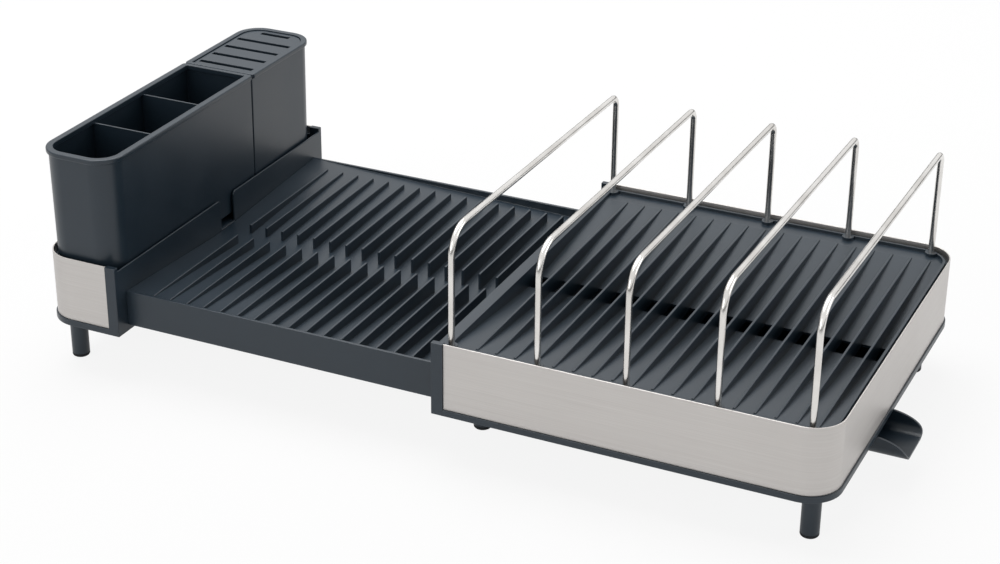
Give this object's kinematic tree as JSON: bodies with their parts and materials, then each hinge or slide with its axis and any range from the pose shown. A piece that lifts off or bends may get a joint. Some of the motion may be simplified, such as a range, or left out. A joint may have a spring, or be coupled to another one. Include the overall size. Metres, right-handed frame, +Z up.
{
  "type": "expandable dish rack",
  "caption": "Expandable dish rack: steel-banded main rack with wire plate hoops, slide-out drip tray with cutlery holder and knife block, and a swivelling drain spout.",
  "frame": {"origin": "middle of the overall box with the extension out, on the worktop under the feet", "axes": "+X towards the drain spout, away from the cutlery bay; +Y from front to back; +Z up"},
  "size_m": [0.6682, 0.3224, 0.1881],
  "materials": {
    "slate": "fine matt grain, moulded",
    "steel": "satin, brushed along its length",
    "wire": "smooth, semi-bright wire",
    "rubber": "dull"
  },
  "bodies": {
    "main": {"main_base": "slate", "main_floor": "slate", "main_band": "steel", "main_legs": "slate", "main_foot_pads": "rubber", "drain_bush": "slate", "spout_seal": "rubber"},
    "spout": {"spout": "slate"},
    "rack": {"rack_rim": "slate", "rack_floor_front": "slate", "rack_floor_back": "slate", "rack_ribs": "slate", "hoop_1": "wire", "hoop_2": "wire", "hoop_3": "wire", "hoop_4": "wire", "hoop_5": "wire"},
    "extension": {"cutlery_bay": "slate", "bay_floor": "slate", "bay_band": "steel", "bay_legs": "slate", "bay_foot_pads": "rubber", "drain_tray": "slate", "tray_ribs_front": "slate", "tray_ribs_back": "slate"},
    "holder": {"cutlery_holder": "slate"},
    "block": {"knife_block": "slate", "knife_plate": "slate"}
  },
  "joints": [
    {"name": "extension_slide", "type": "slide", "parent": "main", "child": "extension", "axis": [1, 0, 0], "range_m": [0, 0.2705]},
    {"name": "rack_lift", "type": "slide", "parent": "main", "child": "rack", "axis": [0, 0, 1], "range_m": [0, 0.06]},
    {"name": "spout_swivel", "type": "hinge", "parent": "main", "child": "spout", "pos_m": [0.2761, -0.027, 0.038], "axis": [0, 0, 1], "continuous": true},
    {"name": "holder_lift", "type": "slide", "parent": "extension", "child": "holder", "axis": [0, 0, 1], "range_m": [0, 0.09]},
    {"name": "block_lift", "type": "slide", "parent": "extension", "child": "block", "axis": [0, 0, 1], "range_m": [0, 0.09]}
  ]
}
